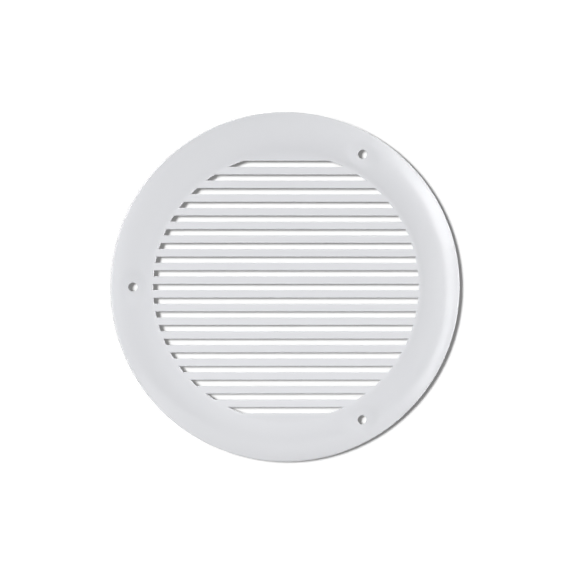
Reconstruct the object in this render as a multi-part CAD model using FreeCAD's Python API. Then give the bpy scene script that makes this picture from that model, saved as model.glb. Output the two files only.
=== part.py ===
import FreeCAD, Part
import math
import os

from FreeCAD import Vector

# Round vent cover, moulded in one piece: a domed flange, hollow behind, round a grille of straight slats.
# It stands as on a wall: +Z is up, the front faces -Y, and the origin is the middle of the back plane.
# It is modelled on its back, with its axis along +Z and the wall at height 0, and turned upright at the end.

# Flange, in millimetres like every length here
slot_field_diameter = 133.3  # circle that the slot ends follow
flange_width = 20.85  # from that circle out to the outer edge
crest_offset = 6.45  # from that circle out to the top of the dome
lip_height = 6.0  # straight outer edge, up from the wall
dome_rise = 3.6  # from the lip to the top of the dome
wall = 2.0  # thickness of the dome and the lip
hollow_bands = 2  # straight bands in which the hollow follows the dome

# Grille
slat_depth = 5.0  # slats, front to back
slot_width = 3.0  # clear opening between two slats
slot_pitch = 6.845  # from one slot to the next
edge_break = 0.4  # bevel on the front edges of the slots
draft = 1.5  # degrees that slots and posts taper, to leave the mould
collar_wall = 2.0  # ring that stands on the wall behind the slat ends
collar_land = 1.0  # from the slot ends out to the inside of that ring

# Screw seats
screw_count = 3
first_screw_angle = 60.0  # degrees from +X towards +Z, seen from the front
screw_inset = 10.8  # from the outer edge in to the screw axes
screw_hole_diameter = 4.5
post_diameter = 10.0  # post behind each seat, where it meets the wall
dish_radius = 40.0  # of the ball-shaped hollow round each hole
dish_depth = 1.0  # of that hollow, square to the dome

# Radii from the axis
slot_field_radius = slot_field_diameter / 2
outer_radius = slot_field_radius + flange_width
crest_radius = slot_field_radius + crest_offset
collar_inside = slot_field_radius + collar_land
collar_outside = collar_inside + collar_wall
hollow_outside = outer_radius - wall
screw_radius = outer_radius - screw_inset

# Dome, one arc from the slats over its top to the lip
dome_run = outer_radius - crest_radius
dome_radius = (dome_run ** 2 + dome_rise ** 2) / (2 * dome_rise)
crest_level = lip_height + dome_rise
dome_centre = Vector(crest_radius, 0, crest_level - dome_radius)

outward = Vector(1, 0, 0)
upright = Vector(0, 0, 1)
clear_of_part = crest_level  # how far a cutter stands out past the part
full_turn = 360.0
quarter_turn = 90.0


def point(radius, level):
    """A point of a section through the axis."""
    return Vector(radius, 0, level)


def on_dome(radius, inset):
    """The point of the dome's section at this radius, on its surface or inset from it."""
    rise = math.sqrt((dome_radius - inset) ** 2 - (radius - crest_radius) ** 2)
    return point(radius, dome_centre.z + rise)


# Levels of the slats above the wall
slat_front = on_dome(collar_inside, 0).z
slat_back = slat_front - slat_depth


def polyline(points):
    """Straight edges through the points in order."""
    return [Part.LineSegment(start, end).toShape() for start, end in zip(points, points[1:])]


def turned(edges):
    """The solid that a closed section makes round the axis."""
    section = Part.Face(Part.Wire(edges))
    return section.revolve(Vector(), upright, full_turn)


def disc_and_flange():
    """The full form, with a pocket behind the slats but still solid behind the dome."""
    slat_edge = on_dome(collar_inside, 0)
    lip_edge = point(outer_radius, lip_height)
    dome = Part.Arc(slat_edge, point(crest_radius, crest_level), lip_edge).toShape()
    straight = polyline([
        lip_edge,
        point(outer_radius, 0),
        point(collar_inside, 0),
        point(collar_inside, slat_back),
        point(0, slat_back),
        point(0, slat_front),
        slat_edge,
    ])
    return turned([dome] + straight)


def hollow():
    """The hollow ring behind the dome, from collar to lip, with the screw posts left in it."""
    band = (hollow_outside - collar_outside) / hollow_bands
    roof = [on_dome(collar_outside + number * band, wall) for number in range(hollow_bands + 1)]
    inner_foot = point(collar_outside, 0)
    ring = turned(polyline([inner_foot] + roof + [point(hollow_outside, 0), inner_foot]))
    return ring.cut(posts())


def posts():
    """The posts that carry the screw holes from the seats to the wall."""
    foot = post_diameter / 2
    head = foot + crest_level * math.tan(math.radians(draft))
    return at_each_screw(Part.makeCone(foot, head, crest_level, point(screw_radius, 0)))


def dishes():
    """The ball-shaped hollows that the screw heads sit in, each square to the dome."""
    out_of_dome = (on_dome(screw_radius, 0) - dome_centre).normalize()
    centre = dome_centre + out_of_dome * (dome_radius - dish_depth + dish_radius)
    ball = Part.makeSphere(dish_radius, centre, outward)  # poles to the sides, clear of the cut
    return at_each_screw(ball)


def screw_holes():
    """The clear holes for the screws."""
    depth = crest_level + clear_of_part
    start = point(screw_radius, -clear_of_part / 2)
    return at_each_screw(Part.makeCylinder(screw_hole_diameter / 2, depth, start))


def at_each_screw(shape):
    """Copies of a shape, turned about the axis from +X to each screw."""
    copies = []
    for number in range(screw_count):
        copy = shape.copy()
        copy.rotate(Vector(), upright, first_screw_angle + number * full_turn / screw_count)
        copies.append(copy)
    return copies


def opening_side(half_width):
    """The points up one side of an opening through the slats, from the wall to clear of the front.

    It narrows by the draft up to the half width, then opens in the bevel that breaks the front edge.
    """
    throat = point(half_width, slat_front - edge_break)
    foot = point(half_width + throat.z * math.tan(math.radians(draft)), 0)
    top = throat + (outward + upright) * (edge_break + clear_of_part)
    return [foot, throat, top]


def slot_field():
    """The round plug that all slot ends follow."""
    side = opening_side(slot_field_radius)
    foot = side[0]
    top = side[-1]
    return turned(polyline(side + [point(0, top.z), point(0, foot.z), foot]))


def slot_bar():
    """One level slot through the middle, longer than the field is wide."""
    right = opening_side(slot_width / 2)
    left = [point(-corner.x, corner.z) for corner in reversed(right)]
    section = Part.Face(Part.Wire(polyline(right + left + right[:1])))
    bar = section.extrude(Vector(0, 2 * outer_radius, 0))
    bar.translate(Vector(0, -outer_radius, 0))
    bar.rotate(Vector(), upright, quarter_turn)
    return bar


def slots():
    """Every slot that fits between the middle and the edge of the field, above and below."""
    field = slot_field()
    bar = slot_bar()
    each_side = int((slot_field_radius - slot_width) / slot_pitch)
    cutters = []
    for step in range(-each_side, each_side + 1):
        moved = bar.copy()
        moved.translate(Vector(0, step * slot_pitch, 0))
        cutters.append(moved.common(field))
    return cutters


def vent_cover():
    """The finished moulding, upright."""
    cover = disc_and_flange().cut(hollow())
    cover = cover.cut(slots())
    cover = cover.cut(dishes())
    cover = cover.cut(screw_holes())
    cover = cover.removeSplitter()
    cover.rotate(Vector(), outward, quarter_turn)
    return cover


os.makedirs("parts", exist_ok=True)
vent_cover().exportStep("parts/vent_cover.step")
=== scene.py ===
"""Looks of the round vent cover: one glossy white moulding, framed and lit as in the photograph."""
import logging
import math
from dataclasses import dataclass, field
from enum import Enum
from typing import Any

import bmesh
import bpy
import numpy as np
from mathutils import Matrix, Vector
from mathutils.geometry import delaunay_2d_cdt


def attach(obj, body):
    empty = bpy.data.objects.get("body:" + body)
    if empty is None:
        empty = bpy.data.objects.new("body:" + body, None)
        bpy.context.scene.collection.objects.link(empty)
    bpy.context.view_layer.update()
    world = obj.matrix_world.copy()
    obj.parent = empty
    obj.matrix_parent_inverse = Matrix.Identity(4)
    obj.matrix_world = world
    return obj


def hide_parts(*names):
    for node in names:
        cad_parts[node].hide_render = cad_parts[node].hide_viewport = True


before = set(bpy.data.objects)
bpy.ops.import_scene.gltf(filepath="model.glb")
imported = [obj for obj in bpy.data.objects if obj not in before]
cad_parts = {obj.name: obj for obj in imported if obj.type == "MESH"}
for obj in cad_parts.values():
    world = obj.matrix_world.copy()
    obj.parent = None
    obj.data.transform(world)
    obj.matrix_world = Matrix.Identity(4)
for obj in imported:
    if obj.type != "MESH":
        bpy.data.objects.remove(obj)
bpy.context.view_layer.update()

log = logging.getLogger("vent_cover")

# Lengths are in millimetres and drafts in degrees, and spans are the straight stretches that draw a curve
MM = 0.001
NODE = "vent_cover"
BODY = "root"

QUARTER_TURN = math.pi / 2
FULL_TURN = 2 * math.pi
WHITE = "#FFFFFF"
BLACK = "#000000"

# Sockets of the Mix node when it mixes colours, by number because several share a name
MIX_FACTOR, MIX_FIRST, MIX_SECOND, MIX_COLOUR = 0, 6, 7, 2
# Choice of the triangulation that fills the whole hull
WHOLE_HULL = 0
# Keeps the two directions along the wall, right and up
ALONG_WALL = (1.0, 0.0, 1.0)


class Face(Enum):
    """The two flat faces of the grille."""

    FRONT = "front"
    BACK = "back"


@dataclass
class Patch:
    """A stretch of surface.

    Points are rows of right, up and height off the wall, in millimetres. Each face is a row of point
    numbers.
    """

    points: np.ndarray
    faces: np.ndarray


def woven(points: np.ndarray, keep: np.ndarray | None = None) -> Patch:
    """Joins a grid of points into quads.

    Each point is joined to the next row and the next column, and the last column to the first.

    Args:
        points: Grid of shape (rows, columns, 3).
        keep: True for each quad that stays, of shape (rows - 1, columns). All stay where it is None.

    Returns:
        The grid as one patch.
    """
    rows, columns = points.shape[:2]
    here = np.arange(rows * columns).reshape(rows, columns)
    ahead = np.roll(here, -1, axis=1)
    quads = np.stack([here[:-1], ahead[:-1], ahead[1:], here[1:]], axis=-1)
    chosen = quads.reshape(-1, 4) if keep is None else quads[keep]
    return Patch(points.reshape(-1, 3), chosen)


def bend(start: np.ndarray, corner: np.ndarray, end: np.ndarray, steps: int) -> np.ndarray:
    """A corner made soft: start (1-t)^2 plus corner 2t(1-t) plus end t^2, for t from 0 to 1.

    Args:
        start: Where the softening begins, an array of any shape.
        corner: The sharp corner, of the same shape.
        end: Where it ends, of the same shape.
        steps: How many spans it is drawn in.

    Returns:
        The points along the bend, with t as a new first axis.
    """
    t = np.linspace(0.0, 1.0, steps + 1).reshape(-1, *[1] * np.ndim(start))
    return start * (1 - t) ** 2 + corner * 2 * t * (1 - t) + end * t ** 2


def soft_min(first: np.ndarray, second: np.ndarray, reach: float) -> np.ndarray:
    """The lower of two heights, with the rim between them rounded.

    Where their gap is under reach, it is lower by (reach - gap)^2 / (4 reach).

    Args:
        first: One height at each point.
        second: The other height at each point.
        reach: The gap under which the two blend.

    Returns:
        The blended height at each point.
    """
    close = np.maximum(reach - np.abs(first - second), 0.0)
    return np.minimum(first, second) - close ** 2 / (4 * reach)


@dataclass
class DomedFlange:
    """The ring of the moulding: a dome that comes down to a straight lip, hollow behind, and its collar."""

    outer_radius: float = 87.5
    crest_radius: float = 73.1
    lip_height: float = 6.0
    dome_rise: float = 3.6
    wall: float = 2.0
    collar_inside: float = 67.65
    collar_outside: float = 69.65
    slat_depth: float = 5.0
    edge_round: float = 0.8
    foot_round: float = 0.3
    inner_fillet: float = 0.9
    soft_crease: float = 0.35
    crease_run: float = 2.0
    columns: int = 480
    bend_spans: int = 6
    back_spans: int = 4
    foot_spans: int = 4
    edge_spans: int = 8
    inner_spans: int = 7
    outer_spans: int = 8
    roof_spans: int = 4

    @property
    def dome_radius(self) -> float:
        """Radius of the dome's arc, from its run and its rise."""
        run = self.outer_radius - self.crest_radius
        return (run ** 2 + self.dome_rise ** 2) / (2 * self.dome_rise)

    @property
    def centre_height(self) -> float:
        """Height of the centre of the dome's arc, behind the wall."""
        return self.lip_height + self.dome_rise - self.dome_radius

    @property
    def slat_front(self) -> float:
        """Height of the slat fronts, where the dome comes down to the inside of the collar."""
        return float(self.dome(np.array(self.collar_inside)))

    @property
    def slat_back(self) -> float:
        """Height of the slat backs."""
        return self.slat_front - self.slat_depth

    @property
    def angles(self) -> np.ndarray:
        """The angle of each column of the ring."""
        return np.linspace(0.0, FULL_TURN, self.columns, endpoint=False)

    def dome(self, radius: np.ndarray, inset: float = 0.0) -> np.ndarray:
        """Height of the dome: the arc's centre plus the root of (arc radius - inset)^2 - (radius - crest)^2.

        Args:
            radius: Distance from the axis at each point.
            inset: How far under the surface.

        Returns:
            The height off the wall at each point.
        """
        arc = self.dome_radius - inset
        return self.centre_height + np.sqrt(arc ** 2 - (radius - self.crest_radius) ** 2)

    def disc_rim(self, face: Face) -> np.ndarray:
        """Radius and height where the ring meets a flat face of the grille.

        Args:
            face: The front or the back face.

        Returns:
            The two numbers as an array.
        """
        height = self.slat_front if face is Face.FRONT else self.slat_back
        return np.array([self.collar_inside - self.soft_crease, height])

    def section(self, window: np.ndarray) -> np.ndarray:
        """The ring's section from the slat fronts over the dome, lip, hollow and collar to the slat backs.

        Args:
            window: The radii at which the screw seats are set into the dome and into its underside.

        Returns:
            Rows of radius and height.
        """
        def on(radius: Any, inset: float = 0.0) -> np.ndarray:
            """Points of the dome's arc at these radii."""
            return np.stack([np.asarray(radius), self.dome(np.asarray(radius), inset)], axis=-1)

        foot, fillet = self.foot_round, self.inner_fillet
        rise_end = self.collar_inside + self.crease_run
        crease = bend(self.disc_rim(Face.FRONT), on(self.collar_inside), on(rise_end), self.bend_spans)
        edge_centre = on(self.outer_radius - self.edge_round, self.edge_round)
        steepest = math.asin((edge_centre[0] - self.crest_radius) / (self.dome_radius - self.edge_round))
        turn = np.linspace(steepest, QUARTER_TURN, self.edge_spans + 1)
        edge = edge_centre + self.edge_round * np.stack([np.sin(turn), np.cos(turn)], axis=-1)
        front = on(np.concatenate([
            np.linspace(rise_end, window[0], self.inner_spans + 1)[1:-1],
            window,
            np.linspace(window[-1], edge[0, 0], self.outer_spans + 1)[1:-1],
        ]))
        inside = self.outer_radius - self.wall
        lip_foot = self.foot(inside, self.outer_radius)[::-1]
        lip_corner = on(inside, self.wall)
        lip_fillet = bend(
            lip_corner - [0, fillet], lip_corner, on(inside - fillet, self.wall), self.bend_spans)
        roof = on(np.concatenate([
            np.linspace(inside - fillet, window[-1], self.roof_spans + 1)[1:-1],
            window[::-1],
        ]), self.wall)
        collar_corner = on(self.collar_outside, self.wall)
        collar_fillet = bend(
            on(self.collar_outside + fillet, self.wall), collar_corner, collar_corner - [0, fillet],
            self.bend_spans)
        collar_foot = self.foot(self.collar_inside, self.collar_outside)[::-1]
        back_corner = np.array([self.collar_inside, self.slat_back])
        back = bend(back_corner - [0, foot], back_corner, self.disc_rim(Face.BACK), self.back_spans)
        return np.concatenate([
            crease, front, edge, lip_foot, lip_fillet, roof, collar_fillet, collar_foot, back])

    def foot(self, inside: float, outside: float) -> np.ndarray:
        """The flat foot of a wall with both its edges rounded.

        Args:
            inside: Radius of the wall's inner face.
            outside: Radius of its outer face.

        Returns:
            Rows of radius and height, from the inner face to the outer.
        """
        turn = np.linspace(0.0, QUARTER_TURN, self.foot_spans + 1)
        corner = self.foot_round * np.stack([1 - np.cos(turn), 1 - np.sin(turn)], axis=-1)
        inner = corner + [inside, 0]
        outer = [outside, 0] + corner[::-1] * [-1, 1]
        return np.concatenate([inner, outer])

    def build(self, seats: "ScrewSeats") -> Patch:
        """Carries the section round the axis, with the dishes sunk in and the seats' windows left open.

        Args:
            seats: The screw seats that fill those windows.

        Returns:
            The ring as one patch.
        """
        section = self.section(seats.radii)
        radius, height = section[:, 0, None], section[:, 1, None]
        right = radius * np.cos(self.angles)
        up = radius * np.sin(self.angles)
        lip_row = int(np.argmax(section[:, 0]))
        in_front = np.arange(len(section))[:, None] < lip_row
        tall = np.broadcast_to(height, right.shape)
        tall = np.where(in_front, seats.dished(right, up, tall), tall)
        keep = np.ones((len(section) - 1, self.columns), bool)
        first = np.flatnonzero(np.isclose(section[:, 0], seats.radii[0]))
        last = np.flatnonzero(np.isclose(section[:, 0], seats.radii[-1]))
        columns = seats.window_columns(self.columns)
        keep[first[0]:last[0], columns] = False
        keep[last[-1]:first[-1], columns] = False
        return woven(np.stack([right, up, tall], axis=-1), keep)


@dataclass
class ScrewSeats:
    """The three dished seats: dish, hole and the post behind it, each let into a window of the ring."""

    flange: DomedFlange
    degrees: tuple[float, ...] = (60.0, 180.0, 300.0)
    screw_radius: float = 76.7
    hole_radius: float = 2.25
    hole_round: float = 0.3
    hole_draft: float = 4.5
    post_radius: float = 5.0
    post_round: float = 0.25
    post_fillet: float = 0.7
    draft: float = 1.5
    dish_radius: float = 40.0
    dish_depth: float = 1.0
    dish_softness: float = 0.45
    window_inside: float = 70.75
    window_outside: float = 83.25
    window_rows: int = 26
    half_window: int = 7
    dish_spans: int = 19
    round_spans: int = 6
    roof_spans: int = 4

    @property
    def radii(self) -> np.ndarray:
        """The radii of the ring's rows across a window."""
        return np.linspace(self.window_inside, self.window_outside, self.window_rows + 1)

    @property
    def turns(self) -> np.ndarray:
        """The angle of each screw."""
        return np.radians(self.degrees)

    def window_columns(self, columns: int) -> np.ndarray:
        """The columns of the ring's quads that the windows take out.

        Args:
            columns: How many columns the ring has.

        Returns:
            Their numbers.
        """
        middles = np.rint(self.turns / FULL_TURN * columns).astype(int)
        across = np.arange(-self.half_window, self.half_window)
        return (middles[:, None] + across).ravel() % columns

    def dished(self, right: np.ndarray, up: np.ndarray, height: np.ndarray) -> np.ndarray:
        """The dome's height with the dishes sunk in it.

        A dish is the underside of a ball: its centre's height less the root of (ball radius^2 -
        distance^2). The soft minimum of that and the dome rounds the rim.

        Args:
            right: Place across, at each point.
            up: Place up, at each point.
            height: The dome's height there.

        Returns:
            The lowered height.
        """
        flange = self.flange
        reach = flange.dome_radius - self.dish_depth + self.dish_radius
        lean = math.asin((self.screw_radius - flange.crest_radius) / flange.dome_radius)
        away = flange.crest_radius + reach * math.sin(lean)
        level = flange.centre_height + reach * math.cos(lean)
        lowered = np.asarray(height, float)
        for turn in self.turns:
            apart = np.hypot(right - away * math.cos(turn), up - away * math.sin(turn))
            inside = np.minimum(apart, self.dish_radius)
            ball = level - np.sqrt(self.dish_radius ** 2 - inside ** 2)
            lowered = soft_min(lowered, ball, self.dish_softness)
        return lowered

    def front(self, right: np.ndarray, up: np.ndarray) -> np.ndarray:
        """Height of the dished dome at each point."""
        return self.dished(right, up, self.flange.dome(np.hypot(right, up)))

    def roof(self, right: np.ndarray, up: np.ndarray) -> np.ndarray:
        """Height of the dome's underside at each point."""
        return self.flange.dome(np.hypot(right, up), self.flange.wall)

    def border(self, turn: float) -> np.ndarray:
        """The border of one window, once round from its inner corner.

        Args:
            turn: The angle of its screw.

        Returns:
            Rows of right and up.
        """
        cell = FULL_TURN / self.flange.columns
        across = np.arange(-self.half_window, self.half_window) * cell
        along = self.radii[:-1]
        back = self.window_inside + self.window_outside - along
        same = np.full_like
        radius = np.concatenate([
            same(across, self.window_inside), along, same(across, self.window_outside), back])
        swing = turn + np.concatenate([across, same(along, -across[0]), -across, same(along, across[0])])
        return np.stack([radius * np.cos(swing), radius * np.sin(swing)], axis=-1)

    def seat(self, turn: float) -> Patch:
        """One seat as a grid, with columns round the screw axis and rows from the front window to the back.

        Rows go in over the dish, round the rim, down the hole, out over the post's foot, up its side, round
        the fillet at its root and out under the dome. Each row is a distance from the screw axis and a
        height in each direction.

        Args:
            turn: The angle of its screw.

        Returns:
            The seat as one patch.
        """
        centre = self.screw_radius * np.array([math.cos(turn), math.sin(turn)])
        arm = self.border(turn) - centre
        reach = np.linalg.norm(arm, axis=1)
        aim = arm / reach[:, None]
        slope = math.tan(math.radians(self.draft))
        even = np.ones_like(reach)
        quarter = np.linspace(0.0, QUARTER_TURN, self.round_spans + 1)[:, None]

        def spot(distance: np.ndarray) -> tuple[np.ndarray, np.ndarray]:
            """Right and up at these distances from the screw axis."""
            return centre[0] + distance * aim[:, 0], centre[1] + distance * aim[:, 1]

        t = np.linspace(0.0, 1.0, self.dish_spans + 1)[:, None]
        rim = self.hole_radius + self.hole_round
        over = reach * (1 - t) + rim * t
        dish = np.stack([over, self.front(*spot(over))], axis=-1)
        lip = dish[-1, :, 1]
        turn_in = np.stack([
            self.hole_radius + self.hole_round * (1 - np.sin(quarter)) * even,
            lip - self.hole_round * (1 - np.cos(quarter)),
        ], axis=-1)
        small = self.post_round
        wide = self.hole_radius + math.tan(math.radians(self.hole_draft)) * lip.mean()
        inner_foot = np.stack([
            wide + small * (1 - np.cos(quarter)) * even,
            small * (1 - np.sin(quarter)) * even,
        ], axis=-1)
        outer_foot = np.stack([
            self.post_radius - small * (1 - np.sin(quarter)) * even,
            small * (1 - np.cos(quarter)) * even,
        ], axis=-1)
        root = self.post_radius + slope * self.roof(*spot(self.post_radius * even))
        root_height = self.roof(*spot(root))
        below = root_height - self.post_fillet
        beyond = root + self.post_fillet
        fillet = bend(
            np.stack([root - slope * self.post_fillet, below], axis=-1),
            np.stack([root, root_height], axis=-1),
            np.stack([beyond, self.roof(*spot(beyond))], axis=-1),
            self.round_spans,
        )
        under = beyond + (reach - beyond) * np.linspace(0.0, 1.0, self.roof_spans + 1)[1:, None]
        roof = np.stack([under, self.roof(*spot(under))], axis=-1)
        rows = np.concatenate([dish, turn_in[1:], inner_foot, outer_foot, fillet, roof])
        right, up = spot(rows[..., 0])
        return woven(np.stack([right, up, rows[..., 1]], axis=-1))

    def build(self) -> list[Patch]:
        """All the seats."""
        return [self.seat(turn) for turn in self.turns]


@dataclass
class SlatGrille:
    """The flat grille: straight slots, soft in front, with their ends on one circle, and its two faces."""

    flange: DomedFlange
    field_radius: float = 66.65
    slot_width: float = 3.0
    pitch: float = 6.845
    each_side: int = 9
    side_draft: float = 1.5
    end_draft: float = 5.0
    front_round: float = 0.5
    back_round: float = 0.15
    flat_strip: float = 0.06
    long_spans: int = 24
    end_spans: int = 8
    front_spans: int = 6
    back_spans: int = 3
    merge_mm: float = 1e-6

    @property
    def middles(self) -> np.ndarray:
        """The height up the wall of each slot's middle."""
        return self.pitch * np.arange(-self.each_side, self.each_side + 1)

    def levels(self, draft: float) -> np.ndarray:
        """How far a slot stands open past its throat, from its back to its front.

        It starts level with the slat backs, turns round the back edge, narrows by the draft to the throat,
        and opens in a quarter round to lie level with the slat fronts.

        Args:
            draft: The taper of this side, in degrees.

        Returns:
            Rows of opening past the throat and height off the wall.
        """
        front, back = self.flange.slat_front, self.flange.slat_back
        throat = front - self.front_round
        spread = (throat - back) * math.tan(math.radians(draft))
        nose_turn = np.linspace(0.0, QUARTER_TURN, self.front_spans + 1)
        rear_turn = np.linspace(0.0, QUARTER_TURN, self.back_spans + 1)
        rear = np.stack([
            spread + self.back_round * (1 - np.sin(rear_turn)),
            back + self.back_round * (1 - np.cos(rear_turn)),
        ], axis=-1)
        nose = np.stack([
            self.front_round * (1 - np.cos(nose_turn)),
            throat + self.front_round * np.sin(nose_turn),
        ], axis=-1)
        strip = np.array([self.flat_strip, 0.0])
        return np.concatenate([rear[:1] + strip, rear, nose, nose[-1:] + strip])

    def contours(self) -> np.ndarray:
        """The outline of every slot at every level.

        It runs along the bottom, up the right end, back along the top and down. A long side lies half the
        width off the middle, and an end lies on the field's circle, where right is the root of
        (radius^2 - up^2).

        Returns:
            Points of shape (slots, levels, points round, 3).
        """
        sides, ends = self.levels(self.side_draft), self.levels(self.end_draft)
        middle = self.middles[:, None, None]
        half = self.slot_width / 2 + sides[None, :, 0, None]
        radius = self.field_radius + ends[None, :, 0, None]
        long = np.linspace(-1.0, 1.0, self.long_spans, endpoint=False)[None, None]
        end = np.linspace(-1.0, 1.0, self.end_spans, endpoint=False)[None, None]
        up = np.concatenate([
            middle - half * np.ones_like(long),
            middle + half * end,
            middle + half * np.ones_like(long),
            middle - half * end,
        ], axis=-1)
        across = np.sqrt(radius ** 2 - up ** 2)
        share = np.concatenate([long, np.ones_like(end), -long, -np.ones_like(end)], axis=-1)
        height = np.broadcast_to(sides[None, :, 1, None], up.shape)
        return np.stack([across * share, up, height], axis=-1)

    def flat_face(self, face: Face, contours: np.ndarray) -> Patch:
        """One flat face of the grille: a disc with every slot left open.

        The rim and the slot outlines are joined into triangles. A triangle whose middle lies in a slot is
        left out.

        Args:
            face: The front or the back face.
            contours: The outline of every slot at every level.

        Returns:
            The face as one patch.
        """
        level = -1 if face is Face.FRONT else 0
        radius, height = self.flange.disc_rim(face)
        rim = radius * np.stack([np.cos(self.flange.angles), np.sin(self.flange.angles)], axis=-1)
        outlines = contours[:, level, :, :2]
        slots, around = outlines.shape[:2]
        flat = np.concatenate([rim, outlines.reshape(-1, 2)])
        ring = np.arange(len(rim))
        loops = len(rim) + np.arange(slots * around).reshape(slots, around)
        edges = np.concatenate([
            np.stack([ring, np.roll(ring, -1)], axis=-1),
            np.stack([loops, np.roll(loops, -1, axis=1)], axis=-1).reshape(-1, 2),
        ])
        corners = [Vector(corner) for corner in flat.tolist()]
        joined = delaunay_2d_cdt(corners, edges.tolist(), [], WHOLE_HULL, self.merge_mm)
        plane = np.array([tuple(corner) for corner in joined[0]])
        triangles = np.array(joined[2])
        middle = plane[triangles].mean(axis=1)
        off = np.abs(middle[:, 1, None] - self.middles)
        in_slot = (off < self.slot_width / 2 + self.levels(self.side_draft)[level, 0]).any(axis=1)
        in_slot &= np.linalg.norm(middle, axis=1) < self.field_radius + self.levels(self.end_draft)[level, 0]
        points = np.column_stack([plane, np.full(len(plane), height)])
        return Patch(points, triangles[~in_slot])

    def build(self) -> list[Patch]:
        """Makes the walls of every slot and the two flat faces.

        Returns:
            One patch for each of them.
        """
        contours = self.contours()
        walls = [woven(slot) for slot in contours]
        return walls + [self.flat_face(face, contours) for face in Face]


def linear(code: str) -> tuple[float, float, float, float]:
    """Turns an sRGB hex colour into linear light, by the curve of the sRGB standard.

    Args:
        code: Six hex digits after a hash sign.

    Returns:
        Red, green, blue and a full alpha.
    """
    channels = np.array([int(code[i:i + 2], 16) for i in (1, 3, 5)]) / 255
    light = np.where(channels <= 0.04045, channels / 12.92, ((channels + 0.055) / 1.055) ** 2.4)
    return (*light.tolist(), 1.0)


def add_node(tree: bpy.types.NodeTree, kind: str, settings: dict[str, Any] | None = None,
             values: dict[str | int, Any] | None = None,
             links: dict[str | int, bpy.types.NodeSocket] | None = None) -> bpy.types.Node:
    """Adds a node to a tree with its settings, socket values and links.

    Args:
        tree: The tree that it goes into.
        kind: The node's type.
        settings: Properties of the node, by name.
        values: Values of its input sockets, by name or number.
        links: Output sockets that feed its inputs, by name or number.

    Returns:
        The new node.
    """
    node = tree.nodes.new(kind)
    for name, value in (settings or {}).items():
        setattr(node, name, value)
    for name, value in (values or {}).items():
        node.inputs[name].default_value = value
    for name, source in (links or {}).items():
        tree.links.new(source, node.inputs[name])
    return node


def bare_material(name: str) -> tuple[bpy.types.Material, bpy.types.NodeTree]:
    """Makes a node material with an empty tree.

    Args:
        name: What it is called.

    Returns:
        The material and its tree.
    """
    material = bpy.data.materials.new(name)
    material.use_nodes = True
    material.node_tree.nodes.clear()
    return material, material.node_tree


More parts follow.
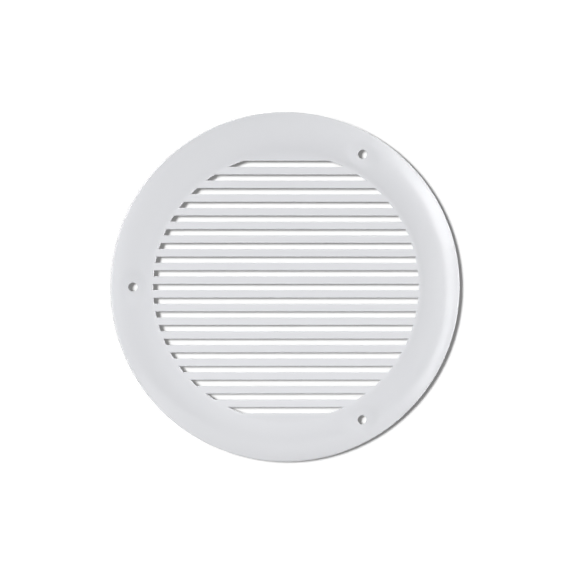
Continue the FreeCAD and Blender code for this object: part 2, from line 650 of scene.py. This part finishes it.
@dataclass(frozen=True)
class MouldedAbs:
    """Glossy white ABS from a polished mould.

    It gives the eye a slightly cool white, with the thin slats painted a touch lighter: painted light that
    stands in for light coming through them and bouncing between them. It has a clear but not mirror-sharp
    gloss that wavers where the skin shrank as it cooled, and the faintest drift of tone along the flow of
    the melt.
    """

    name: str = "moulded_white_abs"
    light_tone: str = "#E6E7EA"
    dark_tone: str = "#E2E3E7"
    # Slat tones painted lighter: painted light for light through and between the thin slats
    slat_tone_painted_lighter: str = "#ECEDF0"
    slat_dark_tone_painted_lighter: str = "#E8E9ED"
    slat_end_mm: float = 66.4
    flange_start_mm: float = 69.0
    last_slot_mm: float = 62.0
    past_slots_mm: float = 65.0
    tone_mm: float = 45.0
    tone_detail: float = 2.0
    gloss_low: float = 0.14
    gloss_high: float = 0.19
    gloss_mm: float = 18.0
    gloss_detail: float = 3.0
    noise_low: float = 0.3
    noise_high: float = 0.7
    skin_mm: float = 13.0
    skin_detail: float = 1.0
    skin_depth_mm: float = 0.06
    refraction: float = 1.53

    def build(self) -> bpy.types.Material:
        """Makes the material, with its patterns on the piece's own coordinates.

        Returns:
            The material.
        """
        material, tree = bare_material(self.name)
        place = add_node(tree, "ShaderNodeTexCoord").outputs["Object"]
        drift, patches, skin = (
            add_node(
                tree, "ShaderNodeTexNoise", values={"Scale": 1 / (size * MM), "Detail": detail},
                links={"Vector": place}).outputs["Fac"]
            for size, detail in (
                (self.tone_mm, self.tone_detail),
                (self.gloss_mm, self.gloss_detail),
                (self.skin_mm, self.skin_detail),
            ))
        # Painted light: lighter slat tones stand in for light through and between the thin slats
        flange, slats = (
            add_node(
                tree, "ShaderNodeMix", {"data_type": "RGBA"},
                {MIX_FIRST: linear(dark), MIX_SECOND: linear(light)},
                {MIX_FACTOR: drift}).outputs[MIX_COLOUR]
            for dark, light in (
                (self.dark_tone, self.light_tone),
                (self.slat_dark_tone_painted_lighter, self.slat_tone_painted_lighter),
            ))
        # Slats end at a distance from the axis, and past the last slot above and below
        across = add_node(
            tree, "ShaderNodeVectorMath", {"operation": "MULTIPLY"}, {1: ALONG_WALL}, {0: place})
        radius = add_node(
            tree, "ShaderNodeVectorMath", {"operation": "LENGTH"}, links={0: across.outputs["Vector"]})
        up = add_node(tree, "ShaderNodeSeparateXYZ", links={0: place}).outputs["Z"]
        off_middle = add_node(tree, "ShaderNodeMath", {"operation": "ABSOLUTE"}, links={0: up})
        outwards, past_slots = (
            add_node(
                tree, "ShaderNodeMapRange", {"interpolation_type": "SMOOTHSTEP"},
                {"From Min": begin * MM, "From Max": end * MM}, {"Value": measure}).outputs["Result"]
            for measure, begin, end in (
                (radius.outputs["Value"], self.slat_end_mm, self.flange_start_mm),
                (off_middle.outputs[0], self.last_slot_mm, self.past_slots_mm),
            ))
        # Painted light mask: 0 on the slats, which get the painted lighter tone, 1 on the flange
        outside_painted_light = add_node(
            tree, "ShaderNodeMath", {"operation": "MAXIMUM"}, links={0: outwards, 1: past_slots})
        tone = add_node(
            tree, "ShaderNodeMix", {"data_type": "RGBA"},
            links={MIX_FACTOR: outside_painted_light.outputs[0], MIX_FIRST: slats, MIX_SECOND: flange})
        gloss = add_node(
            tree, "ShaderNodeMapRange",
            values={"From Min": self.noise_low, "From Max": self.noise_high,
                    "To Min": self.gloss_low, "To Max": self.gloss_high},
            links={"Value": patches})
        ripple = add_node(
            tree, "ShaderNodeBump", values={"Strength": 1.0, "Distance": self.skin_depth_mm * MM},
            links={"Height": skin})
        shader = add_node(
            tree, "ShaderNodeBsdfPrincipled", values={"IOR": self.refraction, "Metallic": 0.0},
            links={"Base Color": tone.outputs[MIX_COLOUR], "Roughness": gloss.outputs["Result"],
                   "Normal": ripple.outputs["Normal"]})
        add_node(tree, "ShaderNodeOutputMaterial", links={"Surface": shader.outputs["BSDF"]})
        return material


@dataclass
class VentCover:
    """The whole moulding as one closed surface."""

    finish: MouldedAbs = field(default_factory=MouldedAbs)
    weld_mm: float = 0.002
    crease_degrees: float = 33.0

    def build(self) -> bpy.types.Object:
        """Makes the surface from its sub-assemblies, stood upright, welds it and links it in.

        Returns:
            The piece that stands for the solid.
        """
        flange = DomedFlange()
        seats = ScrewSeats(flange)
        grille = SlatGrille(flange)
        patches = [flange.build(seats)] + seats.build() + grille.build()
        starts = np.cumsum([0] + [len(patch.points) for patch in patches[:-1]])
        faces = [face for patch, start in zip(patches, starts) for face in (patch.faces + start).tolist()]
        lying = np.concatenate([patch.points for patch in patches])
        upright = np.stack([lying[:, 0], -lying[:, 2], lying[:, 1]], axis=-1) * MM
        mesh = bpy.data.meshes.new("vent_cover_skin")
        mesh.from_pydata(upright.tolist(), [], faces)
        self.weld(mesh)
        mesh.shade_smooth()
        mesh.set_sharp_from_angle(angle=math.radians(self.crease_degrees))
        piece = bpy.data.objects.new("vent_cover_skin", mesh)
        bpy.context.scene.collection.objects.link(piece)
        return piece

    def weld(self, mesh: bpy.types.Mesh) -> None:
        """Merges the borders of the patches and points every face outwards.

        Args:
            mesh: The loose patches, which become one closed surface.
        """
        work = bmesh.new()
        work.from_mesh(mesh)
        bmesh.ops.remove_doubles(work, verts=work.verts, dist=self.weld_mm * MM)
        bmesh.ops.recalc_face_normals(work, faces=work.faces)
        gaps = sum(not edge.is_manifold for edge in work.edges)
        log.info("vent cover skin: %d faces, %d open edges", len(work.faces), gaps)
        work.to_mesh(mesh)
        work.free()

    def dress(self, piece: bpy.types.Object) -> None:
        """Gives the piece its finish and its place in the frame.

        Args:
            piece: The welded surface.
        """
        piece.data.materials.append(self.finish.build())
        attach(piece, BODY)
        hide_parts(NODE)


@dataclass(frozen=True)
class MattPaint:
    """Flat paint or cloth on the stage: no gloss, so it shows only the light and the shadow that fall on it.

    Its glow is a little of its own tone that only lines of sight and reflections meet, so that a shadow on
    it stays a clear grey.
    """

    name: str
    tone: str
    glow: float
    one_sided: bool = False

    def build(self) -> bpy.types.Material:
        """Makes the material, see-through from behind where it is one-sided.

        Returns:
            The material.
        """
        material, tree = bare_material(self.name)
        paint = add_node(tree, "ShaderNodeBsdfDiffuse", values={"Color": linear(self.tone)}).outputs["BSDF"]
        strength = add_node(
            tree, "ShaderNodeMath", {"operation": "MULTIPLY"}, {1: self.glow}, {0: line_of_sight(tree)})
        glow = add_node(
            tree, "ShaderNodeEmission", values={"Color": linear(self.tone)},
            links={"Strength": strength.outputs[0]}).outputs["Emission"]
        paint = add_node(tree, "ShaderNodeAddShader", links={0: paint, 1: glow}).outputs["Shader"]
        if self.one_sided:
            behind = add_node(tree, "ShaderNodeNewGeometry").outputs["Backfacing"]
            clear = add_node(tree, "ShaderNodeBsdfTransparent").outputs["BSDF"]
            paint = add_node(
                tree, "ShaderNodeMixShader", links={0: behind, 1: paint, 2: clear}).outputs["Shader"]
        add_node(tree, "ShaderNodeOutputMaterial", links={"Surface": paint})
        return material


def line_of_sight(tree: bpy.types.NodeTree) -> bpy.types.NodeSocket:
    """Adds a socket that is 1 for what looks straight, by reflection or through glass, and 0 for light.

    Args:
        tree: The tree that its nodes go into.

    Returns:
        The socket.
    """
    path = add_node(tree, "ShaderNodeLightPath").outputs
    seen = path["Is Camera Ray"]
    for other in ("Is Glossy Ray", "Is Transmission Ray"):
        seen = add_node(
            tree, "ShaderNodeMath", {"operation": "MAXIMUM"}, links={0: seen, 1: path[other]}).outputs[0]
    return seen


def heading(right_degrees: float, up_degrees: float) -> Vector:
    """The direction from the cover towards its front, swung to the right and up.

    Args:
        right_degrees: Swing to the right as seen from the front.
        up_degrees: Swing upwards.

    Returns:
        A unit vector.
    """
    side, rise = math.radians(right_degrees), math.radians(up_degrees)
    return Vector((math.sin(side) * math.cos(rise), -math.cos(side) * math.cos(rise), math.sin(rise)))


class Shows(Enum):
    """What a soft box does for a surface: lights it and shows in its gloss, or only one of the two."""

    FULL = "full"
    MATT = "matt"
    GLOSS = "gloss"


@dataclass(frozen=True)
class SoftBox:
    """One soft box: where it stands, how large and how bright it is, and how it shows."""

    name: str
    swing: tuple[float, float]
    size_mm: tuple[float, float]
    watts: float
    shows: Shows = Shows.FULL
    distance_mm: float = 1200.0


@dataclass
class Studio:
    """The stage: a white wall with its own lamp, a black flag, a pale floor, soft boxes and the camera."""

    wall_gap_mm: float = 13.0
    wall_half_mm: float = 600.0
    floor_drop_mm: float = 600.0
    floor_half_mm: float = 4000.0
    flag_gap_mm: float = 6.0
    flag_half_mm: float = 110.0
    frame_width_mm: float = 286.5
    camera_swing: tuple[float, float] = (-5.0, 1.2)
    camera_distance_mm: float = 8000.0
    aim_height_mm: float = 9.1
    aim_right_mm: float = 0.2
    aim_up_mm: float = 0.3
    wall_lamp_swing: tuple[float, float] = (-11.1, 3.1)
    wall_lamp_strength: float = 2.55
    wall_lamp_softness: float = 3.9
    wall_glow: float = 0.22
    floor_tone: str = "#F4F4F4"
    floor_glow: float = 0.7
    sensor_mm: float = 36.0
    near_clip_mm: float = 10.0
    ambient: float = 0.2
    gloss_surround: float = 1.0
    backdrop: float = 0.72
    boxes: tuple[SoftBox, ...] = (
        SoftBox("right_box", (76.0, 8.0), (350.0, 1200.0), 13.2, Shows.MATT),
        SoftBox("left_box", (-65.0, 8.0), (400.0, 1200.0), 11.4, Shows.MATT),
        SoftBox("upper_right_box", (55.0, 45.0), (500.0, 500.0), 1.1),
        SoftBox("top_box", (0.0, 80.0), (1200.0, 500.0), 1.9),
        SoftBox("low_box", (0.0, -45.0), (800.0, 300.0), 0.9, distance_mm=500.0),
        SoftBox("gloss_box", (45.0, 14.0), (360.0, 900.0), 2.9, Shows.GLOSS),
        SoftBox("upper_gloss_box", (46.0, 17.0), (600.0, 360.0), 1.5, Shows.GLOSS),
        SoftBox("low_gloss_box", (46.0, -18.0), (300.0, 500.0), 1.4, Shows.GLOSS),
        SoftBox("side_gloss_box", (70.0, 8.0), (320.0, 1100.0), 3.5, Shows.GLOSS),
        SoftBox("back_left_box", (-176.0, 35.0), (600.0, 600.0), 11.0),
        SoftBox("back_right_box", (165.0, -5.0), (600.0, 600.0), 4.5),
    )

    def plane(self, name: str, corners: np.ndarray, paint: MattPaint) -> bpy.types.Object:
        """One flat stage piece.

        Args:
            name: What it is called.
            corners: Its four corners in millimetres, anticlockwise from the side that shows.
            paint: Its finish.

        Returns:
            The piece.
        """
        mesh = bpy.data.meshes.new(name)
        mesh.from_pydata((corners * MM).tolist(), [], [(0, 1, 2, 3)])
        mesh.materials.append(paint.build())
        piece = bpy.data.objects.new(name, mesh)
        bpy.context.scene.collection.objects.link(piece)
        return piece

    def build_wall(self) -> bpy.types.Object:
        """Makes the wall that takes the shadow, which shows only from the front.

        It blocks no light and throws none back on the cover.

        Returns:
            The wall.
        """
        half, gap, low = self.wall_half_mm, self.wall_gap_mm, -self.floor_drop_mm
        corners = np.array([(-half, gap, low), (half, gap, low), (half, gap, half), (-half, gap, half)])
        paint = MattPaint("matt_white_wall_paint", WHITE, self.wall_glow, one_sided=True)
        wall = self.plane("white_wall", corners, paint)
        wall.visible_shadow = False
        wall.visible_diffuse = False
        return wall

    def build_flag(self) -> None:
        """Hangs a black cloth between cover and wall, so that the lit back doesn't fill the shadow.

        Only bounced light meets it.
        """
        half, gap = self.flag_half_mm, self.flag_gap_mm
        corners = np.array([(-half, gap, -half), (half, gap, -half), (half, gap, half), (-half, gap, half)])
        flag = self.plane("black_flag", corners, MattPaint("black_flag_cloth", BLACK, glow=0.0))
        flag.visible_camera = flag.visible_shadow = flag.visible_glossy = flag.visible_transmission = False

    def build_floor(self) -> None:
        """The pale floor under the cover."""
        half, low = self.floor_half_mm, -self.floor_drop_mm
        corners = np.array([(-half, -half, low), (half, -half, low), (half, half, low), (-half, half, low)])
        self.plane("pale_floor", corners, MattPaint("pale_floor_paint", self.floor_tone, self.floor_glow))

    def lamp(self, name: str, kind: str, swing: tuple[float, float], distance_mm: float, strength: float,
             settings: dict[str, Any], lights: bpy.types.Collection) -> bpy.types.Object:
        """One lamp that points at the cover.

        Args:
            name: What it is called.
            kind: The type of lamp.
            swing: Its swing to the right and up, in degrees.
            distance_mm: How far off it stands.
            strength: Its power.
            settings: Further properties, by name.
            lights: The only things that it lights.

        Returns:
            The lamp, which isn't seen itself.
        """
        light = bpy.data.lights.new(name, kind)
        light.energy = strength
        for key, value in settings.items():
            setattr(light, key, value)
        lamp = bpy.data.objects.new(name, light)
        away = heading(*swing)
        lamp.location = away * distance_mm * MM
        lamp.rotation_euler = away.to_track_quat("Z", "Y").to_euler()
        lamp.visible_camera = False
        lamp.light_linking.receiver_collection = lights
        bpy.context.scene.collection.objects.link(lamp)
        return lamp

    def build_lamps(self, wall: bpy.types.Object, cover: bpy.types.Object) -> None:
        """The wall's own lamp, which throws the cover's shadow on it, and the soft boxes round the cover.

        Args:
            wall: The wall.
            cover: The cover.
        """
        behind = self.group("lit_by_wall_lamp", wall)
        self.lamp("wall_lamp", "SUN", self.wall_lamp_swing, self.camera_distance_mm, self.wall_lamp_strength,
                  {"angle": math.radians(self.wall_lamp_softness)}, behind)
        ahead = self.group("lit_by_soft_boxes", cover)
        for box in self.boxes:
            wide, tall = box.size_mm
            lamp = self.lamp(box.name, "AREA", box.swing, box.distance_mm, box.watts,
                             {"shape": "RECTANGLE", "size": wide * MM, "size_y": tall * MM}, ahead)
            lamp.visible_diffuse = box.shows is not Shows.GLOSS
            lamp.visible_glossy = box.shows is not Shows.MATT

    def group(self, name: str, member: bpy.types.Object) -> bpy.types.Collection:
        """Makes a named group with the one thing that its lamps light.

        Args:
            name: What it is called.
            member: That thing.

        Returns:
            The group.
        """
        group = bpy.data.collections.new(name)
        group.objects.link(member)
        return group

    def build_world(self) -> None:
        """Even light from all round, which shows white in the gloss and pale grey past the wall."""
        world = bpy.data.worlds.new("studio")
        bpy.context.scene.world = world
        world.use_nodes = True
        tree = world.node_tree
        tree.nodes.clear()
        even, white, pale = (
            add_node(
                tree, "ShaderNodeBackground",
                values={"Color": linear(WHITE), "Strength": strength}).outputs["Background"]
            for strength in (self.ambient, self.gloss_surround, self.backdrop))
        mixed = add_node(
            tree, "ShaderNodeMixShader", links={0: line_of_sight(tree), 1: even, 2: white}).outputs["Shader"]
        straight = add_node(tree, "ShaderNodeLightPath").outputs["Is Camera Ray"]
        shown = add_node(tree, "ShaderNodeMixShader", links={0: straight, 1: mixed, 2: pale})
        add_node(tree, "ShaderNodeOutputWorld", links={"Surface": shown.outputs["Shader"]})

    def build_camera(self) -> None:
        """A long lens, a little left of the axis and above it, with the slats level in the picture."""
        lens = bpy.data.cameras.new("photo_camera")
        lens.sensor_width = self.sensor_mm
        lens.lens = self.sensor_mm * self.camera_distance_mm / self.frame_width_mm
        lens.clip_start = self.near_clip_mm * MM
        camera = bpy.data.objects.new("photo_camera", lens)
        away = heading(*self.camera_swing)
        aim = Vector((self.aim_right_mm, -self.aim_height_mm, self.aim_up_mm))
        camera.location = (aim + away * self.camera_distance_mm) * MM
        level = Vector((1.0, 0.0, 0.0))
        level = (level - away * level.dot(away)).normalized()
        camera.rotation_euler = Matrix((level, away.cross(level), away)).transposed().to_euler()
        bpy.context.scene.collection.objects.link(camera)
        bpy.context.scene.camera = camera

    def build(self, cover: bpy.types.Object) -> None:
        """The whole stage.

        Args:
            cover: The piece that the soft boxes light.
        """
        self.build_floor()
        self.build_flag()
        self.build_lamps(self.build_wall(), cover)
        self.build_world()
        self.build_camera()
        bpy.context.scene.view_settings.view_transform = "Standard"


def main() -> None:
    """Builds the cover and its stage."""
    logging.basicConfig(level=logging.INFO, format="%(name)s: %(message)s")
    cover = VentCover()
    piece = cover.build()
    cover.dress(piece)
    log.info("%s stands for %s", piece.name, NODE)
    Studio().build(piece)


if __name__ == "__main__":
    main()
